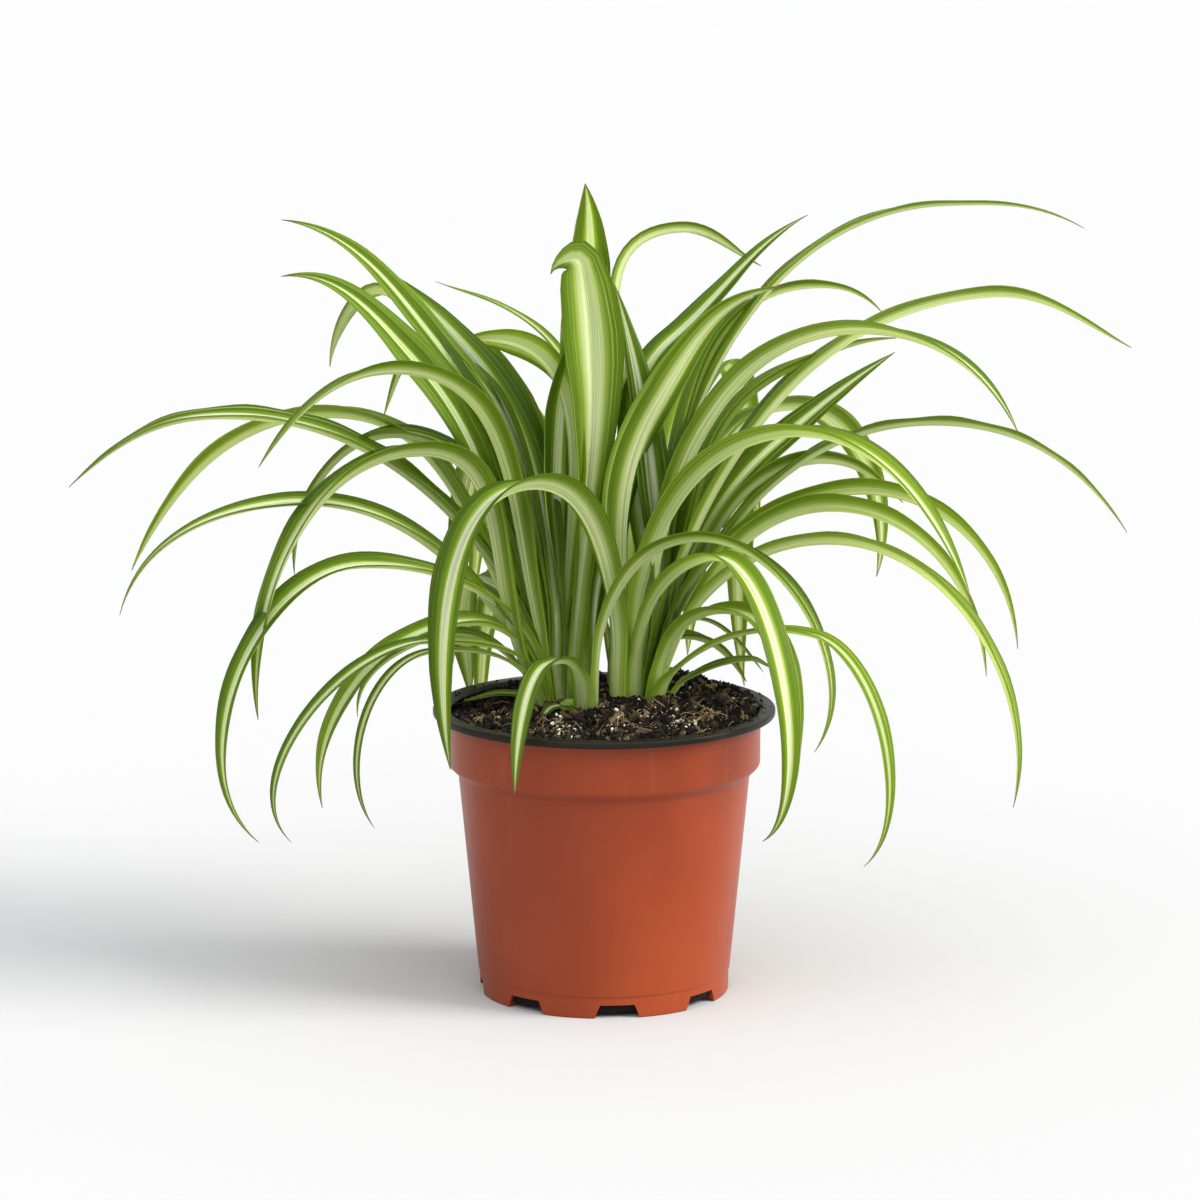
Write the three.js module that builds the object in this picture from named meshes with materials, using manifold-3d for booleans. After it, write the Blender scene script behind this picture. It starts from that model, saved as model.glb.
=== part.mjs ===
// Potted spider plant: a two-tone plastic nursery pot, the potting mix in it, and two crowns of
// arching, channelled leaves. Millimetres. The pot stands on z = 0 with its axis on the origin.
// Headings are turned from +X towards +Y; the front of the plant faces -Y.
import * as THREE from 'three';
import Module from 'manifold-3d';
import { mergeVertices } from 'three/addons/utils/BufferGeometryUtils.js';

const wasm = await Module();
wasm.setup();

// Pot
const potHeight = 118;
const lipRadius = 70;
const lipInnerRadius = 64;
const lipThickness = 2.8;
const lipRound = 0.8;
const collarTopRadius = 64.4;
const collarRadius = 63.9;
const collarStepHeight = 110;
const collarStepDrop = 0.6;
const collarBottom = 95;
const collarEase = 1;
const shoulderHeight = 91;
const bodyTopRadius = 59.7;
const skirtTopRadius = 51.8;
const skirtHeight = 8.4;
const skirtDrop = 0.7;
const skirtRadius = 51.3;
const baseRound = 0.6;
const wallThickness = 1.2;
const floorThickness = 1.5;
const potSides = 48;
const weldDistance = 1e-5;

// Drainage channels under the floor, open to the side as notches in the skirt
const channelCount = 8;
const channelHeading = 276;
const channelHeight = 5.5;
const channelTopWidth = 14;
const channelBottomWidth = 21;
const channelStart = 36;
const channelEnd = 60;
const drainHoleRadius = 3;
const drainHoleReach = 44;
const drainHoleSides = 12;
const cutPast = 3;

// Potting mix
const mixGap = 0.4;
const mixCornerRound = 1.2;
const mixSides = 48;
const mixRings = 7;
const mixEdgeHeight = 115.6;
const mixRise = 2.8;
const mixTilt = 0.03;
const mixHeap = { x: 32, y: 42, height: 12, spread: 14 };
const mixCrownMound = { x: 6, y: 8, height: 2.5, spread: 18 };
const lumpHeight = 1.3;
const lumpWaves = [[0.31, 0.17, 0.4], [-0.22, 0.36, 1.9], [0.44, -0.29, 3.1], [0.12, 0.52, 5.0]];

// Crowns: the short pale stem that each ring of leaves grows from
const leftCrown = [-14, 0];
const rightCrown = [12, 12];
const stemProfile = [[0, 98], [7, 99], [10.2, 105], [10.4, 121], [8.6, 129], [5.6, 135], [0, 137]];
const stemHoleRadius = 10.8;
const stemHoleFloor = 97.4;
const stemSides = 20;

// Leaf blade: a shallow channel, narrow at the root, widest before the middle, long fine tip
const bladeThickness = 0.7;
const stepLength = 25;
const fewestSteps = 4;
const mostSteps = 10;
const spineSamples = 40;
const curveEase = 1.15;
const fuseTolerance = 0.05;
const rootReach = [[120, 7], [200, 5], [320, 1.5]];
const rootHeight = 122;
const widthAlong = [[0, 0.4], [0.12, 0.52], [0.25, 0.74], [0.42, 0.97], [0.52, 1], [0.7, 0.86],
  [0.84, 0.55], [0.93, 0.27], [1, 0.08]];
const foldAlong = [[0, 40], [0.2, 34], [0.5, 24], [0.8, 22], [1, 26]];

// One row is one leaf. way: heading of the leaf; lean: tilt from upright at the root;
// bend: reach and height of its crest or bend; rise: slope there; tip: reach and height of the tip;
// hang: slope of the tip below level; wide: greatest width; turn: roll of the blade at the bend and
// at the tip; at: start beside the crown's axis; blunt: above 1 the blade stays wide nearer to its
// tip, below 1 it thins sooner.
// Reach is from the crown's axis. mm and degrees.
const leftLeaves = [
  // Long high leaves that sweep up to the left
  { way: 158, lean: 10, bend: [51, 257], rise: 47, tip: [128, 312], hang: -4, wide: 16, turn: [-30, -25] },
  { way: 150, lean: 9, bend: [46, 258], rise: 45, tip: [90, 293], hang: -34, wide: 22, turn: [-35, -20] },
  { way: 126, lean: 10, bend: [50, 250], rise: 42, tip: [84, 262], hang: 0, wide: 20, turn: [-35, -25] },
  { way: 170, lean: 27, bend: [63, 259], rise: 47, tip: [119, 292], hang: 10, wide: 21, turn: [-45, -30] },
  { way: 148, lean: 18, bend: [84, 280], rise: 36, tip: [118, 249], hang: 84, wide: 19, turn: [35, 20] },
  { way: 140, lean: 8, bend: [69, 263], rise: 4, tip: [102, 227], hang: 66, wide: 16, turn: [-10, 10] },
  // Arching leaves round the left side
  { way: 197, lean: 24, bend: [71, 260], rise: 4, tip: [129, 223], hang: 56, wide: 20, turn: [20, -10] },
  { way: 184, lean: 18, bend: [143, 240], rise: -2, tip: [202, 211], hang: 44, wide: 20, turn: [-8, 0] },
  { way: 166, lean: 37, bend: [97, 236], tip: [188, 166], hang: 64, wide: 22, turn: [10, 20] },
  { way: 190, lean: 31, bend: [117, 206], rise: -4, tip: [183, 162], hang: 75, wide: 17,
    turn: [-15, 0], blunt: 0.75 },
  { way: 196, lean: 57, bend: [60, 227], rise: 4, tip: [130, 120], hang: 96, wide: 24, turn: [15, -25] },
  { way: 175, lean: 18, bend: [66, 230], rise: 8, tip: [113, 171], hang: 94, wide: 21, turn: [0, 10] },
  { way: 197, lean: 10, bend: [88, 182], tip: [131, 70], hang: 138, wide: 16, turn: [-15, -20] },
  { way: 203, lean: 17, bend: [61, 150], rise: 4, tip: [121, 72], hang: 134, wide: 9, turn: [-10, -20] },
  { way: 196, lean: 20, bend: [43, 156], tip: [104, 82], hang: 101, wide: 16, turn: [-10, -20] },
  { way: 204, lean: 37, bend: [60, 146], rise: -2, tip: [86, 75], hang: 126, wide: 7, turn: [0, -30] },
  { way: 188, lean: 42, bend: [56, 149], rise: -17, tip: [87, 116], hang: 96, wide: 12, turn: [0, 0] },
  { way: 130, lean: 23, bend: [58, 163], rise: 4, tip: [65, 110], hang: 94, wide: 21, turn: [0, 0] },
  // Small leaves close over the potting mix
  { way: 247, lean: 22, bend: [42, 145], tip: [75, 98], hang: 88, wide: 11, turn: [10, -10], at: [8, -5] },
  { way: 172, lean: 68, bend: [24, 123], rise: 3, tip: [44, 119], hang: 12, wide: 8, turn: [0, 0] },
  { way: 228, lean: 48, bend: [14, 122], tip: [22, 119], hang: 40, wide: 6, turn: [0, 0], at: [5, -6] },
  // Upright leaves of the middle
  { way: 75, lean: 6, bend: [6, 251], rise: 82, tip: [9, 330], hang: -124, wide: 22,
    turn: [5, 5], at: [4, 10], blunt: 2 },
  { way: 150, lean: -2, bend: [-5, 299], rise: 78, tip: [10, 294], hang: 72, wide: 27,
    turn: [-60, -50], at: [1, 7], blunt: 2.4 },
  { way: 180, lean: 6, bend: [5, 235], rise: 94, tip: [-8, 288], hang: -104, wide: 20,
    turn: [-60, -60], at: [1, 9] },
  { way: 145, lean: 4, bend: [30, 264], rise: 4, tip: [58, 257], hang: 42, wide: 23,
    turn: [74, 60], at: [-1, 10] },
  { way: 12, lean: 15, bend: [10, 178], rise: 76, tip: [15, 214], hang: -84, wide: 15,
    turn: [40, 30], at: [4, 9] },
  // The arch that crosses in front of the right crown
  { way: 345, lean: 8, bend: [48, 192], rise: 3, tip: [96, 106], hang: 124, wide: 16,
    turn: [-15, 10], at: [6, -8] },
  // The back
  { way: 106, lean: 10, bend: [83, 228], tip: [160, 125], hang: 74, wide: 18, turn: [0, 0] },
  { way: 110, lean: 36, bend: [93, 208], rise: 7, tip: [156, 99], hang: 73, wide: 16, turn: [0, 0] },
  { way: 88, lean: 24, bend: [66, 200], tip: [124, 94], hang: 92, wide: 15, turn: [0, 0] },
  { way: 108, lean: 32, bend: [65, 166], rise: 4, tip: [122, 76], hang: 116, wide: 14, turn: [0, 0] },
];

const rightLeaves = [
  // The broad arch in front of the left crown
  { way: 222, lean: 6, bend: [53, 216], tip: [93, 105], hang: 101, wide: 23,
    turn: [15, -25], at: [-4, -9.5] },
  // High leaves of the middle and the right
  { way: 148, lean: 24, bend: [50, 273], rise: 24, tip: [91, 284], hang: -14, wide: 9,
    turn: [0, 0], at: [-5, 8] },
  { way: 25, lean: 33, bend: [20, 310], tip: [58, 293], hang: 26, wide: 19, turn: [-35, -30], at: [0, 11] },
  { way: 172, lean: -6, bend: [-1, 205], rise: 84, tip: [15, 290], hang: -74, wide: 18,
    turn: [-50, -40], at: [7, -3] },
  { way: 168, lean: 8, bend: [8, 196], rise: 78, tip: [18, 262], hang: -76, wide: 14,
    turn: [-40, -30], at: [-5, 7] },
  { way: 32, lean: 23, bend: [19, 267], rise: 33, tip: [85, 313], hang: -21, wide: 14, turn: [25, 20] },
  { way: 12, lean: 2, bend: [131, 320], tip: [190, 308], hang: 30, wide: 14, turn: [-10, 0] },
  { way: 22, lean: 16, bend: [78, 286], tip: [111, 273], hang: 47, wide: 20, turn: [-20, 0] },
  { way: 345, lean: 7, bend: [16, 240], rise: 60, tip: [69, 292], hang: -8, wide: 24,
    turn: [-40, -30], at: [-7, -6] },
  // Arching leaves round the right side
  { way: 8, lean: 12, bend: [147, 284], rise: 2, tip: [207, 260], hang: 29, wide: 24, turn: [-15, 0] },
  { way: 342, lean: 1, bend: [100, 276], rise: -2, tip: [160, 237], hang: 64, wide: 24, turn: [-15, 15] },
  { way: 15, lean: 26, bend: [67, 254], rise: 20, tip: [112, 264], hang: 2, wide: 22, turn: [-10, -20] },
  { way: 28, lean: 21, bend: [67, 220], rise: 34, tip: [124, 254], hang: -26, wide: 15, turn: [40, 35] },
  { way: 12, lean: 21, bend: [122, 230], tip: [211, 180], hang: 57, wide: 15, turn: [-15, 0] },
  { way: 335, lean: 0, bend: [68, 235], rise: 10, tip: [149, 173], hang: 69, wide: 24,
    turn: [-10, 10], at: [-2, -4] },
  { way: 42, lean: 13, bend: [86, 232], rise: -4, tip: [141, 152], hang: 108, wide: 21, turn: [-20, -30] },
  { way: 6, lean: 9, bend: [93, 204], tip: [160, 136], hang: 86, wide: 17, turn: [-35, -5] },
  { way: 18, lean: 26, bend: [78, 214], rise: 2, tip: [118, 194], hang: 44, wide: 19, turn: [-35, -10] },
  { way: 0, lean: 29, bend: [81, 199], tip: [145, 128], hang: 87, wide: 20, turn: [-30, 0] },
  { way: 350, lean: 22, bend: [80, 188], rise: 2, tip: [157, 79], hang: 103, wide: 19, turn: [-15, 10] },
  { way: 316, lean: 52, bend: [99, 159], rise: -4, tip: [126, 69], hang: 140, wide: 9, turn: [0, 15] },
  { way: 306, lean: 8, bend: [54, 187], rise: 16, tip: [90, 77], hang: 150, wide: 15,
    turn: [-5, 15], at: [-2, -5] },
  { way: 318, lean: 22, bend: [55, 163], rise: -2, tip: [87, 99], hang: 92, wide: 17, turn: [0, 15] },
  // Small leaves close over the potting mix
  { way: 350, lean: 66, bend: [48, 137], rise: 4, tip: [59, 133], hang: 16, wide: 10, turn: [0, 0] },
  { way: 20, lean: 31, bend: [22, 144], rise: -4, tip: [50, 122], hang: 60, wide: 13, turn: [0, 0] },
  { way: 34, lean: 21, bend: [20, 147], rise: 25, tip: [66, 122], hang: 49, wide: 6, turn: [0, 0] },
  // The back
  { way: 66, lean: 9, bend: [81, 246], rise: 12, tip: [136, 168], hang: 76, wide: 20, turn: [0, 0] },
  { way: 66, lean: 25, bend: [84, 210], rise: 16, tip: [120, 101], hang: 65, wide: 19, turn: [0, 0] },
  { way: 91, lean: 22, bend: [68, 196], tip: [126, 96], hang: 93, wide: 15, turn: [0, 0] },
  { way: 74, lean: 40, bend: [86, 171], rise: 8, tip: [86, 120], hang: 96, wide: 17, turn: [0, 0] },
];

const radians = (degrees) => degrees * Math.PI / 180;

// Straight-line reading of a list of [position, value] pairs
function readAlong(pairs, position) {
  for (let i = 1; i < pairs.length; i += 1) {
    const [end, endValue] = pairs[i];
    const [start, startValue] = pairs[i - 1];
    if (position <= end) {
      return startValue + (endValue - startValue) * (position - start) / (end - start);
    }
  }
  return pairs[pairs.length - 1][1];
}

function toSolid(geometry) {
  const plain = geometry.clone();
  plain.deleteAttribute('normal');
  plain.deleteAttribute('uv');
  const merged = mergeVertices(plain, weldDistance);
  return new wasm.Manifold(new wasm.Mesh({
    numProp: 3,
    vertProperties: new Float32Array(merged.attributes.position.array),
    triVerts: new Uint32Array(merged.index.array),
  }));
}

function toGeometry(solid) {
  const mesh = solid.getMesh();
  const geometry = new THREE.BufferGeometry();
  geometry.setAttribute('position', new THREE.BufferAttribute(new Float32Array(mesh.vertProperties), 3));
  geometry.setIndex(new THREE.BufferAttribute(new Uint32Array(mesh.triVerts), 1));
  geometry.computeVertexNormals();
  return geometry;
}

function fromPoints(points, faces) {
  const geometry = new THREE.BufferGeometry();
  geometry.setAttribute('position', new THREE.Float32BufferAttribute(points.flat(), 3));
  geometry.setIndex(faces.flat());
  return geometry;
}

// Turns a profile of [radius, height] pairs about Z
function turned(profile, sides) {
  const outline = profile.map(([radius, height]) => new THREE.Vector2(radius, height));
  const geometry = new THREE.LatheGeometry(outline, sides);
  geometry.rotateX(Math.PI / 2);
  return toSolid(geometry);
}

function upright(radius, bottom, top, sides, x, y) {
  const profile = [[0, bottom], [radius, bottom], [radius, top], [0, top]];
  return turned(profile, sides).translate([x, y, 0]);
}

// A straight bar with sloped sides that runs out from the axis along a heading
function radialBar(heading, start, end, bottom, top, bottomWidth, topWidth) {
  const points = [];
  for (const reach of [start, end]) {
    points.push([reach, -bottomWidth / 2, bottom], [reach, bottomWidth / 2, bottom]);
    points.push([reach, topWidth / 2, top], [reach, -topWidth / 2, top]);
  }
  const faces = [[0, 2, 1], [0, 3, 2], [4, 5, 6], [4, 6, 7], [0, 1, 5], [0, 5, 4],
    [1, 2, 6], [1, 6, 5], [2, 3, 7], [2, 7, 6], [3, 0, 4], [3, 4, 7]];
  const geometry = fromPoints(points, faces);
  geometry.rotateZ(radians(heading));
  return toSolid(geometry);
}

// The channels as bars, wider and higher by the given margin
function channelBars(start, margin, bottom) {
  const bars = [];
  for (let i = 0; i < channelCount; i += 1) {
    const heading = channelHeading + i * 360 / channelCount;
    const widths = [channelBottomWidth + 2 * margin, channelTopWidth + 2 * margin];
    bars.push(radialBar(heading, start - margin, channelEnd, bottom, channelHeight + margin, ...widths));
  }
  return wasm.Manifold.union(bars);
}

const innerBodyTop = bodyTopRadius - wallThickness;
const innerCollar = collarRadius - wallThickness;
const innerBase = skirtRadius - wallThickness;

function makePot() {
  const outer = [
    [0, 0], [skirtRadius - baseRound, 0], [skirtRadius, baseRound], [skirtRadius, skirtHeight],
    [skirtTopRadius, skirtHeight + skirtDrop], [bodyTopRadius, shoulderHeight],
    [collarRadius - collarEase, collarBottom - collarEase], [collarRadius, collarBottom + collarEase],
    [collarRadius, collarStepHeight],
    [collarTopRadius, collarStepHeight + collarStepDrop], [collarTopRadius, potHeight - lipThickness],
    [lipRadius - lipRound, potHeight - lipThickness], [lipRadius, potHeight - lipThickness + lipRound],
    [lipRadius, potHeight - lipRound], [lipRadius - lipRound, potHeight], [lipInnerRadius, potHeight],
  ];
  const inner = [
    [innerCollar, potHeight - lipThickness / 2], [innerCollar, collarBottom],
    [innerBodyTop, shoulderHeight + wallThickness], [innerBase, floorThickness + baseRound],
    [innerBase - baseRound, floorThickness], [0, floorThickness],
  ];
  const cup = turned([...outer, ...inner], potSides);
  const filled = turned([...outer, [0, potHeight]], potSides);
  const ridges = channelBars(channelStart, wallThickness, 0).intersect(filled);
  const channels = channelBars(channelStart, 0, -cutPast);
  const holes = [];
  for (let i = 0; i < channelCount; i += 1) {
    const heading = radians(channelHeading + i * 360 / channelCount);
    const x = drainHoleReach * Math.cos(heading);
    const y = drainHoleReach * Math.sin(heading);
    holes.push(upright(drainHoleRadius, 0, channelHeight + cutPast, drainHoleSides, x, y));
  }
  return cup.add(ridges).subtract(channels).subtract(wasm.Manifold.union(holes));
}

function bump(x, y, mound) {
  const away = ((x - mound.x) ** 2 + (y - mound.y) ** 2) / mound.spread ** 2;
  return mound.height * Math.exp(-away);
}

// Height of the potting mix: a low mound that rises to the right, a heap at the back right,
// and lumps that fade at the wall
function mixHeight(x, y, edge) {
  const share = Math.min(1, Math.hypot(x, y) / edge);
  let lumps = 0;
  for (const [alongX, alongY, phase] of lumpWaves) {
    lumps += Math.sin(alongX * x + alongY * y + phase);
  }
  const fade = 1 - share ** 4;
  const mounds = bump(x, y, mixHeap) + bump(x, y, mixCrownMound);
  const slope = mixEdgeHeight + mixTilt * x + mixRise * (1 - share ** 2);
  return slope + fade * (mounds + lumpHeight * lumps / 2);
}

function makeMix() {
  const edge = innerCollar - mixGap;
  const wall = [
    [innerBase - mixCornerRound, floorThickness + mixGap],
    [innerBase - mixGap, floorThickness + mixGap + mixCornerRound],
    [innerBodyTop - mixGap, shoulderHeight + wallThickness + mixGap], [edge, collarBottom + mixGap],
  ];
  const points = [[0, 0, floorThickness + mixGap]];
  const ring = (radius, height) => {
    for (let i = 0; i < mixSides; i += 1) {
      const turn = 2 * Math.PI * i / mixSides;
      const x = radius * Math.cos(turn);
      const y = radius * Math.sin(turn);
      points.push([x, y, height(x, y)]);
    }
  };
  wall.forEach(([radius, height]) => ring(radius, () => height));
  for (let i = 0; i < mixRings; i += 1) {
    ring(edge * (1 - i / mixRings), (x, y) => mixHeight(x, y, edge));
  }
  points.push([0, 0, mixHeight(0, 0, edge)]);
  const faces = [];
  const rings = wall.length + mixRings;
  const last = points.length - 1;
  for (let i = 0; i < mixSides; i += 1) {
    const next = (i + 1) % mixSides;
    faces.push([0, 1 + next, 1 + i]);
    for (let j = 0; j < rings - 1; j += 1) {
      const low = 1 + j * mixSides;
      const high = low + mixSides;
      faces.push([low + i, low + next, high + next], [low + i, high + next, high + i]);
    }
    const top = 1 + (rings - 1) * mixSides;
    faces.push([top + i, top + next, last]);
  }
  const mix = toSolid(fromPoints(points, faces));
  const ridges = channelBars(channelStart, wallThickness + mixGap, 0);
  const stems = [leftCrown, rightCrown].map(([x, y]) => (
    upright(stemHoleRadius, stemHoleFloor, potHeight + stemHoleRadius, stemSides, x, y)));
  return mix.subtract(ridges).subtract(stems[0]).subtract(stems[1]);
}

// Smooth curve from one [reach, height] to the next, leaving and arriving along the given slopes
function hermite(start, end, leave, arrive, share) {
  const pull = curveEase * Math.hypot(end[0] - start[0], end[1] - start[1]);
  const s2 = share * share;
  const s3 = s2 * share;
  return [0, 1].map((k) => (
    (2 * s3 - 3 * s2 + 1) * start[k] + (s3 - 2 * s2 + share) * pull * leave[k]
    + (3 * s2 - 2 * s3) * end[k] + (s3 - s2) * pull * arrive[k]));
}

// Points of the leaf's mid-line at even steps of its length, as [reach, height]
function leafLine(leaf) {
  const slope = (degrees) => [Math.cos(radians(degrees)), Math.sin(radians(degrees))];
  const root = [leaf.at ? 0 : readAlong(rootReach, leaf.bend[1]), rootHeight];
  const atRoot = slope(90 - leaf.lean);
  const atBend = slope(leaf.rise ?? 0);
  const atTip = slope(-leaf.hang);
  const fine = [root];
  for (let i = 1; i <= spineSamples; i += 1) {
    fine.push(hermite(root, leaf.bend, atRoot, atBend, i / spineSamples));
  }
  for (let i = 1; i <= spineSamples; i += 1) {
    fine.push(hermite(leaf.bend, leaf.tip, atBend, atTip, i / spineSamples));
  }
  const lengths = [0];
  for (let i = 1; i < fine.length; i += 1) {
    lengths.push(lengths[i - 1] + Math.hypot(fine[i][0] - fine[i - 1][0], fine[i][1] - fine[i - 1][1]));
  }
  const whole = lengths[lengths.length - 1];
  const steps = Math.min(mostSteps, Math.max(fewestSteps, Math.round(whole / stepLength)));
  const line = [];
  for (let i = 0; i <= steps; i += 1) {
    const length = whole * i / steps;
    line.push([0, 1].map((k) => readAlong(fine.map((point, j) => [lengths[j], point[k]]), length)));
  }
  return { line, steps, bendShare: lengths[spineSamples] / whole };
}

// One blade: at each step a channelled cross-section of three points, given thickness both ways
function makeLeaf(leaf, crown) {
  const { line, steps, bendShare } = leafLine(leaf);
  const heading = radians(leaf.way);
  const out = new THREE.Vector3(Math.cos(heading), Math.sin(heading), 0);
  const start = new THREE.Vector3(crown[0] + (leaf.at?.[0] ?? 0), crown[1] + (leaf.at?.[1] ?? 0), 0);
  const spine = line.map(([reach, height]) => (
    start.clone().addScaledVector(out, reach).setZ(height)));
  const across = new THREE.Vector3(out.y, -out.x, 0);
  const points = [];
  for (let i = 0; i <= steps; i += 1) {
    const share = i / steps;
    const before = spine[Math.max(0, i - 1)];
    const after = spine[Math.min(steps, i + 1)];
    const along = after.clone().sub(before).normalize();
    const turn = radians(readAlong([[0, 0], [bendShare, leaf.turn[0]], [1, leaf.turn[1]]], share));
    const side = across.clone().applyAxisAngle(along, turn);
    const up = side.clone().cross(along).normalize();
    const half = leaf.wide * readAlong(widthAlong, share ** (leaf.blunt ?? 1)) / 2;
    const fold = radians(readAlong(foldAlong, share));
    for (const [offset, lift] of [[-half, half / 2], [0, -half / 2], [half, half / 2]]) {
      const middle = spine[i].clone();
      middle.addScaledVector(side, offset * Math.cos(fold));
      middle.addScaledVector(up, lift * Math.sin(fold));
      for (const skin of [0.5, -0.5]) {
        points.push(middle.clone().addScaledVector(up, skin * bladeThickness).toArray());
      }
    }
  }
  // Corners of a cross-section in order round it: left, middle, right above; right, middle, left below
  const loop = [0, 2, 4, 5, 3, 1];
  const corners = loop.length;
  const faces = [];
  for (let i = 0; i < steps; i += 1) {
    for (let j = 0; j < corners; j += 1) {
      const a = i * corners + loop[j];
      const b = i * corners + loop[(j + 1) % corners];
      // The lower skin is split along the same diagonals as the upper one
      if (j < corners / 2) {
        faces.push([a, b, b + corners], [a, b + corners, a + corners]);
      } else {
        faces.push([a, b, a + corners], [b, b + corners, a + corners]);
      }
    }
  }
  const end = steps * corners;
  faces.push([0, 3, 2], [0, 1, 3], [2, 5, 4], [2, 3, 5]);
  faces.push([end, end + 2, end + 3], [end, end + 3, end + 1]);
  faces.push([end + 2, end + 4, end + 5], [end + 2, end + 5, end + 3]);
  return toSolid(fromPoints(points, faces));
}

function makeCrown(leaves, crown) {
  const stem = turned(stemProfile, stemSides).translate([crown[0], crown[1], 0]);
  const fused = wasm.Manifold.union([stem, ...leaves.map((leaf) => makeLeaf(leaf, crown))]);
  // Pockets shut in between the leaf bases are filled
  const bodies = fused.simplify(fuseTolerance).decompose().filter((body) => body.volume() > 0);
  return wasm.Manifold.compose(bodies);
}

const plant = new THREE.Group();
plant.name = 'potted_spider_plant';

function addPart(name, solid, color, roughness) {
  const material = new THREE.MeshStandardMaterial({ color, roughness, metalness: 0, flatShading: true });
  const mesh = new THREE.Mesh(toGeometry(solid), material);
  mesh.name = name;
  plant.add(mesh);
}

addPart('pot', makePot(), 0xb0573a, 0.45);
addPart('potting_mix', makeMix(), 0x2e231b, 0.95);
addPart('crown_left', makeCrown(leftLeaves, leftCrown), 0x7fa046, 0.5);
addPart('crown_right', makeCrown(rightLeaves, rightCrown), 0x86a64c, 0.5);

export default plant;
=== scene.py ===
# Potted spider plant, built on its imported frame. Blender works in metres, the numbers below are mm.
import bpy
import numpy as np
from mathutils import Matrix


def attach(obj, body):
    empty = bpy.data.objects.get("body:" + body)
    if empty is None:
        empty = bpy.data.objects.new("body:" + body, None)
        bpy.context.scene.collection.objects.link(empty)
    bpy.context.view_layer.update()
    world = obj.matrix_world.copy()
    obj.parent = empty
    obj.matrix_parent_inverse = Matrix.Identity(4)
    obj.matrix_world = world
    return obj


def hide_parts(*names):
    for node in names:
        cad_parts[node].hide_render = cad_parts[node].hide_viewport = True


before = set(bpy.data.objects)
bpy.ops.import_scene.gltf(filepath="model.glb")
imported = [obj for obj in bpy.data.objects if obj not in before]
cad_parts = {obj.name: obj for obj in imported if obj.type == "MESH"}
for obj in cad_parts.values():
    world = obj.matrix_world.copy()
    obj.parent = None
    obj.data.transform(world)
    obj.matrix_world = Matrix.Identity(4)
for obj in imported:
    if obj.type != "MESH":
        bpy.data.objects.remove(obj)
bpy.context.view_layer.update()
scene = bpy.context.scene
mm = 0.001
print("frame loaded")


# Small tools that every piece uses

def linear(colour):
    # sRGB hex to the linear numbers a shader takes
    shown = np.array([int(colour[i:i + 2], 16) for i in (1, 3, 5)]) / 255
    light = np.where(shown <= 0.04045, shown / 12.92, ((shown + 0.055) / 1.055) ** 2.4)
    return (*(float(v) for v in light), 1.0)


def add(tree, kind, inputs=None, stops=None, out=0, **settings):
    # one node: settings are its own, inputs are sockets to link or values, stops are (place, hex);
    # hands back its output for the next node to link to
    made = tree.nodes.new("ShaderNode" + kind)
    for name, value in settings.items():
        setattr(made, name, value)
    if stops:
        ramp = made.color_ramp.elements
        ramp.remove(ramp[1])
        ramp[0].position, ramp[0].color = stops[0][0], linear(stops[0][1])
        for place, colour in stops[1:]:
            ramp.new(place).color = linear(colour)
    for name, value in (inputs or {}).items():
        if isinstance(value, bpy.types.NodeSocket):
            tree.links.new(value, made.inputs[name])
        else:
            made.inputs[name].default_value = value
    return made.outputs[out] if made.outputs else made


def newMaterial(name):
    material = bpy.data.materials.new(name)
    material.use_nodes = True
    tree = material.node_tree
    tree.nodes.clear()
    return material, tree


def smooth(value, low, high):
    # 0 below low, 1 above high, eased between: 3t^2 - 2t^3
    t = np.clip((value - low) / (high - low), 0, 1)
    return t * t * (3 - 2 * t)


def gridFaces(rows, columns):
    # quads between neighbouring rows; the last column joins the first
    i = np.arange(rows - 1)[:, None] * columns
    j = np.arange(columns)[None, :]
    k = (j + 1) % columns
    return np.stack([i + j, i + k, i + columns + k, i + columns + j], -1).reshape(-1, 4)


def makePiece(name, points, faces, materials, slots=None, facets=False):
    # points in mm; slots gives each face's material
    mesh = bpy.data.meshes.new(name)
    mesh.from_pydata((np.asarray(points) * mm).tolist(), [], faces)
    for material in materials:
        mesh.materials.append(material)
    if slots is not None:
        mesh.polygons.foreach_set("material_index", np.asarray(slots, np.int32))
    mesh.polygons.foreach_set("use_smooth", np.full(len(mesh.polygons), not facets))
    mesh.update()
    piece = bpy.data.objects.new(name, mesh)
    scene.collection.objects.link(piece)
    return piece


def setNumbers(piece, name, values):
    # one number for each vertex, for the material to read
    piece.data.attributes.new(name, "FLOAT", "POINT").data.foreach_set("value", np.ravel(values))


def hold(piece, slot, *nodes):
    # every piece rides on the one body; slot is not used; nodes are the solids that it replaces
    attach(piece, "root")
    if nodes:
        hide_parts(*nodes)


cornerSteps = 5


def rounded(corners):
    # each (radius, height, round) corner becomes a short curve: (1-t)^2 a + 2t(1-t) corner + t^2 b,
    # where a and b lie on the two straight lines, round mm from the corner
    line = np.array([corner[:2] for corner in corners], float)
    t = np.linspace(0, 1, cornerSteps)[:, None]
    rows = [line[:1]]
    for i in range(1, len(line) - 1):
        before, after = line[i - 1] - line[i], line[i + 1] - line[i]
        a = line[i] + before / np.linalg.norm(before) * corners[i][2]
        b = line[i] + after / np.linalg.norm(after) * corners[i][2]
        rows.append((1 - t) ** 2 * a + 2 * t * (1 - t) * line[i] + t ** 2 * b)
    return np.concatenate(rows + [line[-1:]])


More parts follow.
